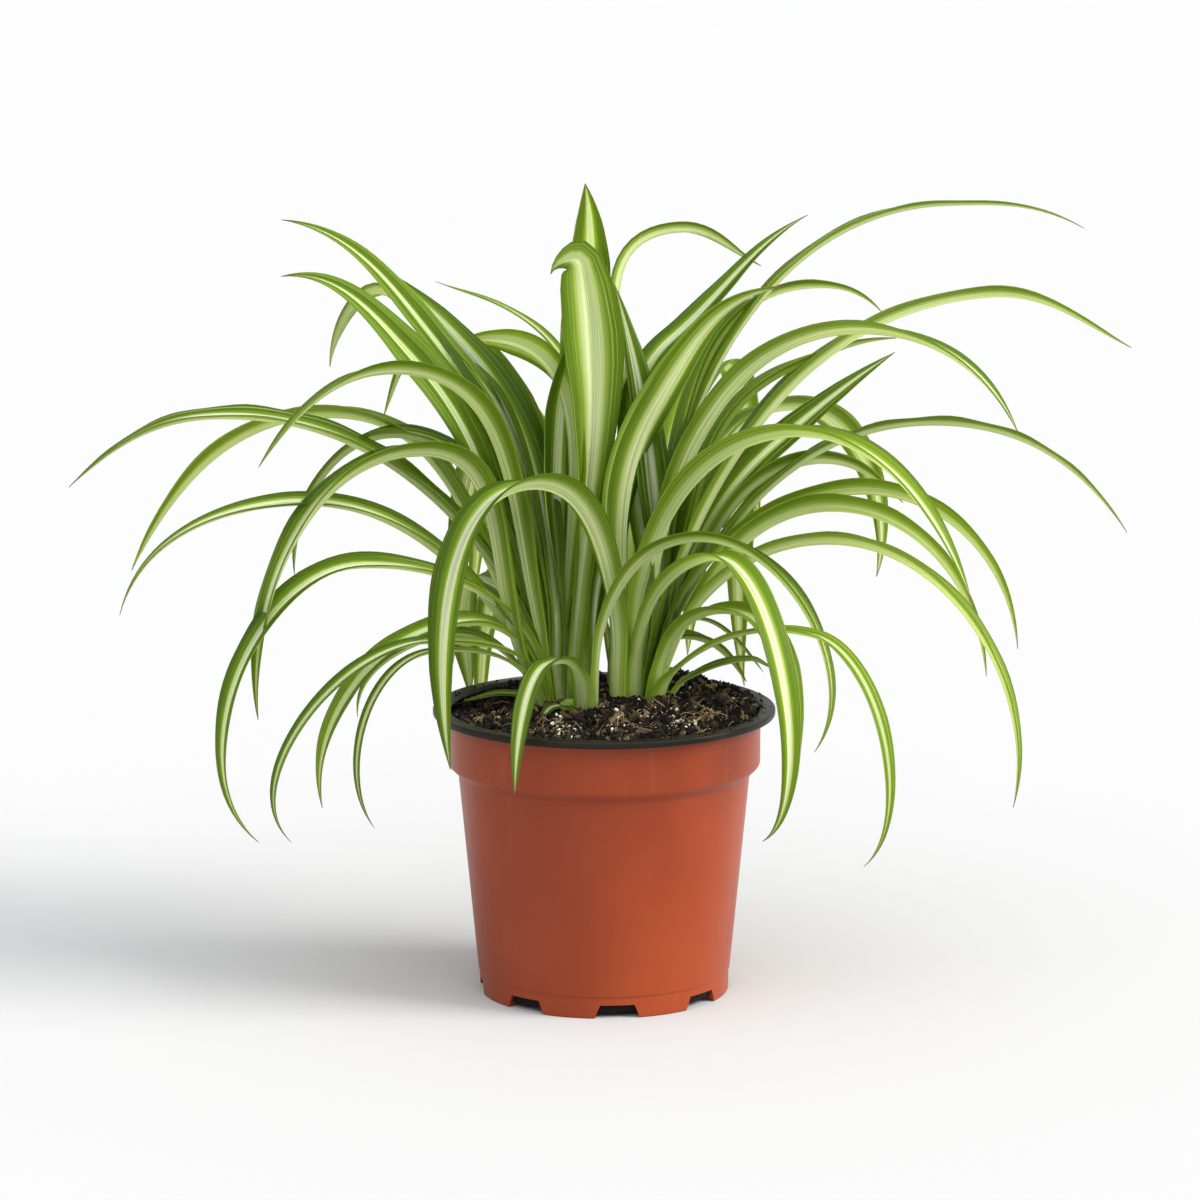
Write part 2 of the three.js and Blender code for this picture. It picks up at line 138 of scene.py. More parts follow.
def turned(profile, sides):
    # profile turned round the axis: (r cos a, r sin a, z), its first and last points on the axis
    a = np.linspace(0, 2 * np.pi, sides, endpoint=False)
    r, z = profile[1:-1, :1], profile[1:-1, 1:]
    ring = np.stack([r * np.cos(a), r * np.sin(a), z + 0 * a], -1)
    points = np.concatenate([ring.reshape(-1, 3), [[0, 0, profile[0, 1]], [0, 0, profile[-1, 1]]]])
    quads = gridFaces(len(r), sides)
    j = np.arange(sides)
    k = (j + 1) % sides
    last = (len(r) - 1) * sides
    low = np.stack([0 * j + len(points) - 2, k, j], -1)
    high = np.stack([last + j, last + k, 0 * j + len(points) - 1], -1)
    return points, low.tolist() + quads.tolist() + high.tolist()


def valueNoise(x, y, size, table):
    # smooth noise: random table values, size mm from one to the next, joined by the blend 3t^2 - 2t^3
    shift = 400  # keeps the places in the table above zero
    u, v = x / size + shift, y / size + shift
    i, j = np.floor(u).astype(int), np.floor(v).astype(int)
    s, t = u - i, v - j
    s, t = s * s * (3 - 2 * s), t * t * (3 - 2 * t)
    n = len(table)
    pick = lambda a, b: table[a % n, b % n]
    low = pick(i, j) * (1 - s) + pick(i + 1, j) * s
    high = pick(i, j + 1) * (1 - s) + pick(i + 1, j + 1) * s
    return low * (1 - t) + high * t


# The pot: moulded polypropylene, a terracotta skin over black. Each corner is radius, height, round.
pot = {
    "sides": 240,
    "outer": [(0, 0, 0), (51.3, 0, 0.6), (51.3, 8.4, 0.15), (51.8, 9.1, 0.2), (59.7, 91, 0.8),
              (63.9, 95, 1.1), (63.9, 110, 0.12), (64.4, 110.6, 0.12), (64.4, 115.2, 0.3)],
    "lip": [(70, 115.2, 0.8), (70, 118, 0.9), (64, 118, 0.5)],
    "inner": [(62.7, 116.6, 0.5), (62.7, 95, 1), (58.5, 92.2, 1), (50.1, 2.1, 0.6), (0, 1.5, 0)],
    "channels": {"count": 8, "heading": 276, "start": 36, "end": 60, "top": 5.5, "topWidth": 14,
                 "bottomWidth": 21, "wall": 1.2, "below": -3},
    "holes": {"radius": 3, "reach": 44, "sides": 24, "bottom": -1, "top": 9},
    "sharpAngle": 40,
}


plastics = {
    "terracotta_plastic": {"base": "#8d3714", "pale": "#953e19", "dark": "#843211",
                           "rough": 0.38, "shine": 0.3},
    "charcoal_plastic": {"base": "#18130e", "pale": "#251d16", "dark": "#120e0a",
                         "rough": 0.4, "shine": 0.22},
}
dustColour = "#c9a592"


def potPlastic(name, spec):
    # polypropylene: a soft satin, so it shows a broad highlight and a very fine moulded grain;
    # the grain is 0.45 mm, mottling 70 mm, and faint dust is rubbed into upright streaks
    material, tree = newMaterial(name)
    at = add(tree, "TexCoord", out="Object")
    upright = add(tree, "Mapping", {"Vector": at, "Scale": (1, 1, 0.12)})
    broad = add(tree, "TexNoise", {"Vector": at, "Scale": 14, "Detail": 3, "Roughness": 0.5})
    rubbed = add(tree, "TexNoise", {"Vector": upright, "Scale": 90, "Detail": 5, "Roughness": 0.65})
    grain = add(tree, "TexNoise", {"Vector": at, "Scale": 2200, "Detail": 2})
    stops = [(0.3, spec["dark"]), (0.5, spec["base"]), (0.72, spec["pale"])]
    colour = add(tree, "ValToRGB", {"Fac": broad}, stops)
    dust = add(tree, "MapRange", {"Value": rubbed, "From Min": 0.6, "From Max": 0.8, "To Max": 0.1})
    colour = add(tree, "Mix", {0: dust, 6: colour, 7: linear(dustColour)}, out=2, data_type="RGBA")
    gloss = add(tree, "MapRange", {"Value": rubbed, "From Min": 0.3, "From Max": 0.75,
                                   "To Min": spec["rough"] - 0.05, "To Max": spec["rough"] + 0.08})
    ripple = add(tree, "Bump", {"Height": broad, "Strength": 0.25, "Distance": 0.0012})
    bump = add(tree, "Bump", {"Height": grain, "Normal": ripple, "Strength": 0.25, "Distance": 0.00008})
    shader = add(tree, "BsdfPrincipled", {"Base Color": colour, "Roughness": gloss, "Normal": bump,
                                          "IOR": 1.49, "Specular IOR Level": spec["shine"]})
    add(tree, "OutputMaterial", {"Surface": shader})
    return material


terracotta, charcoal = (potPlastic(name, spec) for name, spec in plastics.items())


def headings(spec):
    # even turns round the axis: heading + 360 i / count
    return np.radians(spec["heading"] + np.arange(spec["count"]) * 360 / spec["count"])


def bars(spec, margin, bottom):
    # the channel shapes: straight bars with sloped sides that run out from the axis, each turned by
    # (c x - s y, s x + c y, z)
    turn = headings(spec)
    wide, narrow = spec["bottomWidth"] / 2 + margin, spec["topWidth"] / 2 + margin
    top = spec["top"] + margin
    face = np.array([[-wide, bottom], [wide, bottom], [narrow, top], [-narrow, top]])
    ends = (spec["start"] - margin, spec["end"])
    box = np.concatenate([np.insert(face, 0, reach, axis=1) for reach in ends])
    c, s = np.cos(turn)[:, None], np.sin(turn)[:, None]
    points = np.stack([c * box[:, 0] - s * box[:, 1], s * box[:, 0] + c * box[:, 1], 0 * c + box[:, 2]], -1)
    faces = np.array([[0, 3, 2, 1], [4, 5, 6, 7], [0, 1, 5, 4], [1, 2, 6, 5], [2, 3, 7, 6], [3, 0, 4, 7]])
    whole = (faces + 8 * np.arange(spec["count"])[:, None, None]).reshape(-1, 4)
    return makePiece("bars", points.reshape(-1, 3), whole.tolist(), [])


def combine(piece, other, operation):
    step = piece.modifiers.new(operation, "BOOLEAN")
    step.operation, step.object, step.solver = operation, other, "EXACT"
    bpy.context.view_layer.objects.active = piece
    bpy.ops.object.modifier_apply(modifier=step.name)
    bpy.data.objects.remove(other)


def makePot(spec):
    # the profile turned, ridges joined on under the floor, then the channels and holes cut out
    lining = len(spec["outer"][1:]) * cornerSteps - 2  # the black lip starts halfway round the last corner
    profile = rounded(spec["outer"] + spec["lip"] + spec["inner"])
    points, faces = turned(profile, spec["sides"])
    row = np.repeat(np.arange(len(profile) - 1), spec["sides"])
    piece = makePiece("nursery_pot", points, faces, [terracotta, charcoal], row >= lining)
    filled = rounded(spec["outer"] + spec["lip"][:2] + [(0, 118, 0)])
    ridges = bars(spec["channels"], spec["channels"]["wall"], 0)
    solid = makePiece("filled", *turned(filled, spec["sides"]), [])
    combine(ridges, solid, "INTERSECT")
    combine(piece, ridges, "UNION")
    combine(piece, bars(spec["channels"], 0, spec["channels"]["below"]), "DIFFERENCE")
    holes, turn = spec["holes"], headings(spec["channels"])
    low, high, radius = holes["bottom"], holes["top"], holes["radius"]
    profile = np.array([(0, low), (radius, low), (radius, high), (0, high)], float)
    rod, rodFaces = turned(profile, holes["sides"])
    spots = np.stack([np.cos(turn), np.sin(turn), 0 * turn], -1)[:, None] * holes["reach"]
    rodFaces = [[corner + i * len(rod) for corner in face] for i in range(len(turn)) for face in rodFaces]
    combine(piece, makePiece("rods", (rod + spots).reshape(-1, 3), rodFaces, []), "DIFFERENCE")
    piece.data.set_sharp_from_angle(angle=np.radians(spec["sharpAngle"]))
    hold(piece, "pot_plastic", "pot")


makePot(pot)
print("pot made")


# The potting mix: peat, bark, perlite and fibres
mix = {
    "seed": 5, "edge": 62.3, "sides": 360, "rings": 84, "edgeHeight": 115.6, "rise": 2.8, "tilt": 0.03,
    "wall": [(0, 1.9), (48.9, 1.9), (49.7, 3.1), (58.1, 92.6), (62.3, 95.4)],
    "heap": {"x": 32, "y": 42, "height": 12, "spread": 14},
    "mound": {"x": 6, "y": 8, "height": 2.5, "spread": 18},
    "lumps": [(0.31, 0.17, 0.4), (-0.22, 0.36, 1.9), (0.44, -0.29, 3.1), (0.12, 0.52, 5.0)],
    "lumpHeight": 1.3,
    "relief": [(7, 1.7), (3.2, 1.5), (1.5, 0.9)],  # size and height of the crumbly relief
    "toneLevel": 112, "toneSpan": 12,  # where the mix has its middle shade, and how far up it turns pale
    "edgeClear": 0.8, "stemClear": 9,  # no crumbs nearer to the wall, or to the middle of a stem
}
crowns = {"left": (-14, 0), "right": (12, 12)}
mixTables = np.random.default_rng(mix["seed"]).uniform(-1, 1, (3, 97, 97))


def mixHeight(x, y):
    # a low mound 115.6 + 0.03 x + 2.8 (1 - s^2), where s is 1 at the edge, with two heaps
    # h exp(-d^2 / spread^2), lumps from four waves sin(ax + by + c), and three sizes of relief
    share = np.minimum(1, np.hypot(x, y) / mix["edge"])
    lumps = sum(np.sin(a * x + b * y + c) for a, b, c in mix["lumps"])
    mounds = sum(m["height"] * np.exp(-((x - m["x"]) ** 2 + (y - m["y"]) ** 2) / m["spread"] ** 2)
                 for m in (mix["heap"], mix["mound"]))
    relief = sum(high * valueNoise(x, y, size, table)
                 for (size, high), table in zip(mix["relief"], mixTables))
    base = mix["edgeHeight"] + mix["tilt"] * x + mix["rise"] * (1 - share ** 2)
    # the heaps end at the edge, and the relief is less there
    inner, flatter = 1 - share ** 4, 1 - 0.6 * share ** 8
    return base + inner * (mounds + mix["lumpHeight"] * lumps / 2) + relief * flatter


grains = {
    "peat": {"stops": [(0.3, "#050302"), (0.52, "#0d0906"), (0.66, "#20170f"), (0.78, "#4c3b2b"),
                       (0.9, "#9a845f")], "vary": 0.32, "relief": 0.9, "rough": 0.92},
    "bark": {"stops": [(0.25, "#120d0a"), (0.5, "#2b2017"), (0.8, "#6c5742")],
             "vary": 0.3, "relief": 0.9, "rough": 0.92},
    "fibre": {"stops": [(0.2, "#57432f"), (0.5, "#9a8059"), (0.8, "#c4ab82")],
              "vary": 0.3, "relief": 0.9, "rough": 0.92},
    "perlite": {"stops": [(0.2, "#cfcbc0"), (0.5, "#efece4"), (0.8, "#fbfaf5")],
                "vary": 0.2, "relief": 0.5, "rough": 0.75},
}


def grainMaterial(name, spec):
    # peat, bark, coir and perlite: matt and porous, so they hardly shine; noise of 1 and 6 mm,
    # and each grain has a shade of its own
    material, tree = newMaterial(name)
    at = add(tree, "TexCoord", out="Object")
    tone = add(tree, "Attribute", out="Fac", attribute_name="tone")
    fine = add(tree, "TexNoise", {"Vector": at, "Scale": 900, "Detail": 4, "Roughness": 0.7})
    coarse = add(tree, "TexNoise", {"Vector": at, "Scale": 160, "Detail": 3, "Roughness": 0.6})
    both = add(tree, "Math", {0: fine, 1: coarse}, operation="ADD")
    shift = add(tree, "Math", {0: tone, 1: spec["vary"]}, operation="MULTIPLY")
    level = add(tree, "Math", {0: both, 1: 0.5, 2: shift}, operation="MULTIPLY_ADD")
    colour = add(tree, "ValToRGB", {"Fac": level}, spec["stops"])
    bump = add(tree, "Bump", {"Height": fine, "Strength": spec["relief"], "Distance": 0.0004})
    shader = add(tree, "BsdfPrincipled", {"Base Color": colour, "Normal": bump, "Roughness": spec["rough"],
                                          "Specular IOR Level": 0.3})
    add(tree, "OutputMaterial", {"Surface": shader})
    return material


peatLook, barkLook, fibreLook, perliteLook = (grainMaterial(name, spec) for name, spec in grains.items())


def makeMix(spec):
    # rings of the wall, then rings of mixHeight from the edge to the middle
    wall = np.array(spec["wall"], float)
    radius = np.concatenate([wall[:, 0], spec["edge"] * np.linspace(1, 0, spec["rings"] + 1)])
    points, faces = turned(np.stack([radius, 0 * radius], -1), spec["sides"])
    flat = np.concatenate([np.full(spec["sides"], z) for z in wall[1:, 1]])
    height = mixHeight(points[:, 0], points[:, 1])
    height[:len(flat)] = flat
    height[-2] = wall[0, 1]
    points[:, 2] = height
    piece = makePiece("potting_mix_body", points, faces, [peatLook])
    setNumbers(piece, "tone", (height - spec["toneLevel"]) / spec["toneSpan"])
    hold(piece, "potting_mix", "potting_mix")


def ballShape():
    # twelve corners and twenty faces of an icosahedron
    g = (1 + 5 ** 0.5) / 2
    corners = np.array([[-1, g, 0], [1, g, 0], [-1, -g, 0], [1, -g, 0], [0, -1, g], [0, 1, g],
                        [0, -1, -g], [0, 1, -g], [g, 0, -1], [g, 0, 1], [-g, 0, -1], [-g, 0, 1]])
    faces = np.array([[0, 11, 5], [0, 5, 1], [0, 1, 7], [0, 7, 10], [0, 10, 11], [1, 5, 9], [5, 11, 4],
                      [11, 10, 2], [10, 7, 6], [7, 1, 8], [3, 9, 4], [3, 4, 2], [3, 2, 6], [3, 6, 8],
                      [3, 8, 9], [4, 9, 5], [2, 4, 11], [6, 2, 10], [8, 6, 7], [9, 8, 1]])
    return corners / np.linalg.norm(corners[0]), faces


def spotsOnMix(draws, spec):
    # even draws over the disc, R sqrt(u) from the axis, or gathered round given spots (x, y, spread);
    # none where the stems stand
    count, most = spec["count"], mix["edge"] - mix["edgeClear"]
    if "spots" not in spec:
        reach = most * np.sqrt(draws.uniform(0, 1, count))
        turn = draws.uniform(0, 2 * np.pi, count)
        x, y = reach * np.cos(turn), reach * np.sin(turn)
    else:
        pick = np.array(spec["spots"], float)[draws.integers(0, len(spec["spots"]), count)]
        x = pick[:, 0] + draws.normal(0, 1, count) * pick[:, 2]
        y = pick[:, 1] + draws.normal(0, 1, count) * pick[:, 2]
    clear = np.hypot(x, y) < most
    for cx, cy in crowns.values():
        clear &= np.hypot(x - cx, y - cy) > mix["stemClear"]
    return x[clear], y[clear], mixHeight(x[clear], y[clear])


def spotsAtWall(draws, spec):
    # piled up against the pot's wall, a little above the rest: reach = start - across u^1.6
    reach = spec["start"] - spec["across"] * draws.uniform(0, 1, spec["count"]) ** 1.6
    turn = draws.uniform(0, 2 * np.pi, spec["count"])
    x, y = reach * np.cos(turn), reach * np.sin(turn)
    return x, y, mixHeight(x, y) + draws.uniform(0, spec["pile"], spec["count"])


def spotsOnLip(draws, spec):
    # strewn along the flat top of the lip, thicker near its inner edge: reach = start + across u^1.8
    reach = spec["start"] + spec["across"] * draws.uniform(0, 1, spec["count"]) ** 1.8
    turn = draws.uniform(0, 2 * np.pi, spec["count"])
    return reach * np.cos(turn), reach * np.sin(turn), np.full(spec["count"], float(spec["top"]))


def scatter(name, spec, look):
    # crumbs: ball corners jittered, stretched three ways, then turned at random by the quaternion (w, v),
    # b + 2w (v x b) + v x 2(v x b), and set on the mix
    draws = np.random.default_rng(spec["seed"])
    x, y, z = spec.get("where", spotsOnMix)(draws, spec)
    count = len(x)
    corners, faces = ballShape()
    low, high = spec["size"]
    size = low + (high - low) * draws.uniform(0, 1, count) ** 2.2  # far more small ones than large
    stretch = 1 + np.array(spec["stretch"]) * draws.uniform(-1, 1, (count, 3))
    body = corners * (1 + spec["rough"] * draws.uniform(-1, 1, (count, 12, 1)))
    body = body * (stretch * size[:, None] / 2)[:, None, :]
    q = draws.normal(0, 1, (count, 4))
    q /= np.linalg.norm(q, axis=1)[:, None]
    w, v = q[:, :1, None], q[:, None, 1:]
    v = np.broadcast_to(v, body.shape)
    cross = 2 * np.cross(v, body)
    body = body + w * cross + np.cross(v, cross)
    points = body + np.stack([x, y, z + size * spec["sit"]], -1)[:, None, :]
    whole = (faces + 12 * np.arange(count)[:, None, None]).reshape(-1, 3)
    piece = makePiece(name, points.reshape(-1, 3), whole.tolist(), [look], facets=True)
    setNumbers(piece, "tone", np.repeat(draws.uniform(-1, 1, count), 12))
    hold(piece, "potting_mix")


def makeFibres(name, spec, look):
    # thin tubes along bent lines: start + forward*s + sideways*a*s^2 + up*b*s(1-s), tapering to the ends
    draws = np.random.default_rng(spec["seed"])
    x, y = spotsOnMix(draws, spec)[:2]
    count, rows, sides = len(x), spec["rows"], spec["sides"]
    s = np.linspace(0, 1, rows)[None, :]
    length = draws.uniform(*spec["length"], (count, 1))
    turn = draws.uniform(0, 2 * np.pi, (count, 1))
    bend = draws.uniform(-spec["bend"], spec["bend"], (count, 1))
    rise = draws.uniform(*spec["rise"], (count, 1))
    ahead, aside = length * s, length * bend * s ** 2
    px = x[:, None] + ahead * np.cos(turn) - aside * np.sin(turn)
    py = y[:, None] + ahead * np.sin(turn) + aside * np.cos(turn)
    inside = np.minimum(1, (mix["edge"] - spec["edgeClear"]) / np.hypot(px, py))
    px, py = px * inside, py * inside
    pz = mixHeight(px, py) + rise * 4 * s * (1 - s) * 0.7 + spec["above"]
    line = np.stack([px, py, pz], -1)
    ahead = np.gradient(line, axis=1)
    ahead /= np.linalg.norm(ahead, axis=2)[..., None] + 1e-9
    side = np.cross(ahead, [0, 0, 1.0])
    side /= np.linalg.norm(side, axis=2)[..., None] + 1e-9
    up = np.cross(side, ahead)
    thick = draws.uniform(*spec["thick"], (count, 1)) / 2 * (0.35 + 0.65 * np.sin(np.pi * (0.1 + 0.85 * s)))
    a = np.arange(sides) * 2 * np.pi / sides
    ring = (line[:, :, None] + thick[..., None, None] * (side[:, :, None] * np.cos(a)[:, None]
                                                       + up[:, :, None] * np.sin(a)[:, None]))
    quads = gridFaces(rows, sides)
    whole = (quads + rows * sides * np.arange(count)[:, None, None]).reshape(-1, 4).tolist()
    starts = np.arange(count)[:, None] * rows * sides
    ends = starts + (rows - 1) * sides
    whole += (starts + np.arange(sides)[::-1]).tolist() + (ends + np.arange(sides)).tolist()
    piece = makePiece(name, ring.reshape(-1, 3), whole, [look])
    setNumbers(piece, "tone", np.repeat(draws.uniform(-1, 1, count), rows * sides))
    hold(piece, "potting_mix")


# size: smallest and largest; stretch: how far each way; rough: jitter of the corners; sit: share of the
# size that stands above the mix
crumbs = {"seed": 21, "count": 8600, "size": (0.5, 3.6), "stretch": (0.45, 0.45, 0.45), "rough": 0.42,
          "sit": 0.2}
wallCrumbs = {"seed": 26, "count": 2400, "size": (0.6, 3.2), "stretch": (0.45, 0.45, 0.45), "rough": 0.42,
              "sit": 0.1, "where": spotsAtWall, "start": mix["edge"] - 0.9, "across": 6, "pile": 2.2}
lipCrumbs = {"seed": 25, "count": 150, "size": (0.25, 1.3), "stretch": (0.4, 0.4, 0.2), "rough": 0.4,
             "sit": 0.3, "where": spotsOnLip, "start": 64.3, "across": 5, "top": 118}
bark = {"seed": 22, "count": 420, "size": (1.0, 4.4), "stretch": (0.85, 0.7, 0.85), "rough": 0.4,
        "sit": 0.25}
perlite = {"seed": 23, "count": 420, "size": (0.5, 1.8), "stretch": (0.35, 0.35, 0.35), "rough": 0.3,
           "sit": 0.85, "spots": [(-6, -36, 10), (14, -30, 9), (-10, -48, 7), (45, -18, 12), (-45, -22, 12),
                                  (40, 20, 14), (30, -44, 9), (0, -20, 30)]}
fibres = {"seed": 24, "count": 520, "rows": 9, "sides": 4, "length": (3, 15), "thick": (0.2, 0.55),
          "bend": 0.9, "rise": (0.5, 3.2), "above": 0.15, "edgeClear": 0.6,
          "spots": [(41, -27, 4), (41, -27, 4), (12, -33, 7), (-46, -18, 8), (57, 8, 5), (-28, -47, 6),
                    (20, 5, 22), (0, 0, 34), (30, -38, 12)]}
makeMix(mix)
scatter("peat_crumbs", crumbs, peatLook)
scatter("wall_crumbs", wallCrumbs, peatLook)
scatter("lip_crumbs", lipCrumbs, peatLook)
scatter("bark_bits", bark, barkLook)
scatter("perlite_grains", perlite, perliteLook)
makeFibres("coir_fibres", fibres, fibreLook)
print("potting mix made")


# One row is one leaf. way: heading; lean: tilt from upright at the root; bend: reach and height of the
# crest; rise: slope there; tip, hang: its end and slope below level; wide: greatest width; turn: roll at
# the bend and at the tip; at: start beside the crown's axis; blunt: above 1 it stays wide nearer the tip;
# dull: shows the paler face; cream: above 0 a wider cream band, below 0 a narrower one; brown: share of a
# dried tip.
leftLeaves = [
    # Long high leaves that sweep up to the left
    dict(way=158, lean=10, bend=(51, 257), rise=47, tip=(128, 312), hang=-4, wide=16,
         turn=(-30, -25), brown=0.06, cream=-0.7),
    dict(way=150, lean=9, bend=(46, 258), rise=45, tip=(90, 293), hang=-34, wide=22,
         turn=(-35, -20), cream=0.3),
    dict(way=126, lean=10, bend=(50, 250), rise=42, tip=(84, 262), hang=0, wide=20,
         turn=(-35, -25), cream=0.3),
    dict(way=170, lean=27, bend=(63, 259), rise=47, tip=(119, 292), hang=10, wide=21,
         turn=(-45, -30), brown=0.05, cream=-0.7),
    dict(way=148, lean=18, bend=(84, 280), rise=36, tip=(118, 249), hang=84, wide=19,
         turn=(35, 20), cream=0.35),
    dict(way=140, lean=8, bend=(69, 263), rise=4, tip=(102, 227), hang=66, wide=16, turn=(-10, 10)),
    # Arching leaves round the left side
    dict(way=197, lean=24, bend=(71, 260), rise=4, tip=(129, 223), hang=56, wide=20, turn=(20, -10)),
    dict(way=184, lean=18, bend=(143, 240), rise=-2, tip=(202, 211), hang=44, wide=20, turn=(-8, 0)),
    dict(way=166, lean=37, bend=(97, 236), tip=(188, 166), hang=64, wide=22, turn=(10, 20)),
    dict(way=190, lean=31, bend=(117, 206), rise=-4, tip=(183, 162), hang=75, wide=17,
         turn=(-15, 0), blunt=0.75),
    dict(way=196, lean=57, bend=(60, 227), rise=4, tip=(130, 120), hang=96, wide=24, turn=(15, -25)),
    dict(way=175, lean=18, bend=(66, 230), rise=8, tip=(113, 171), hang=94, wide=21, turn=(0, 10)),
    dict(way=197, lean=10, bend=(88, 182), tip=(131, 70), hang=138, wide=16, turn=(-15, -20)),
    dict(way=203, lean=17, bend=(61, 150), rise=4, tip=(121, 72), hang=134, wide=9, turn=(-10, -20)),
    dict(way=196, lean=20, bend=(43, 156), tip=(104, 82), hang=101, wide=16, turn=(-10, -20)),
    dict(way=204, lean=37, bend=(60, 146), rise=-2, tip=(86, 75), hang=126, wide=7, turn=(0, -30)),
    dict(way=188, lean=42, bend=(56, 149), rise=-17, tip=(87, 116), hang=96, wide=12, turn=(0, 0)),
    dict(way=130, lean=23, bend=(58, 163), rise=4, tip=(65, 110), hang=94, wide=21, turn=(0, 0)),
    # Small leaves close over the potting mix
    dict(way=247, lean=22, bend=(42, 145), tip=(75, 98), hang=88, wide=11, turn=(10, -10), at=(8, -5)),
    dict(way=172, lean=68, bend=(24, 123), rise=3, tip=(44, 119), hang=12, wide=8, turn=(0, 0)),
    dict(way=228, lean=48, bend=(14, 122), tip=(22, 119), hang=40, wide=6, turn=(0, 0), at=(5, -6)),
    # Upright leaves of the middle
    dict(way=75, lean=6, bend=(6, 251), rise=82, tip=(9, 330), hang=-124, wide=22,
         turn=(5, 5), at=(4, 10), blunt=2),
    dict(way=150, lean=-2, bend=(-5, 299), rise=78, tip=(10, 294), hang=72, wide=27,
         turn=(-60, -50), at=(1, 7), blunt=2.4, dull=0.6),
    dict(way=180, lean=6, bend=(5, 235), rise=94, tip=(-8, 288), hang=-104, wide=20,
         turn=(-60, -60), at=(1, 9)),
    dict(way=145, lean=4, bend=(30, 264), rise=4, tip=(58, 257), hang=42, wide=23,
         turn=(74, 60), at=(-1, 10), dull=0.9, cream=0.35),
    dict(way=12, lean=15, bend=(10, 178), rise=76, tip=(15, 214), hang=-84, wide=15,
         turn=(40, 30), at=(4, 9), cream=0.1),
    # The arch that crosses in front of the right crown
    dict(way=345, lean=8, bend=(48, 192), rise=3, tip=(96, 106), hang=124, wide=16,
         turn=(-15, 10), at=(6, -8)),
    # The back
    dict(way=106, lean=10, bend=(83, 228), tip=(160, 125), hang=74, wide=18, turn=(0, 0)),
    dict(way=110, lean=36, bend=(93, 208), rise=7, tip=(156, 99), hang=73, wide=16, turn=(0, 0)),
    dict(way=88, lean=24, bend=(66, 200), tip=(124, 94), hang=92, wide=15, turn=(0, 0)),
    dict(way=108, lean=32, bend=(65, 166), rise=4, tip=(122, 76), hang=116, wide=14, turn=(0, 0)),
]
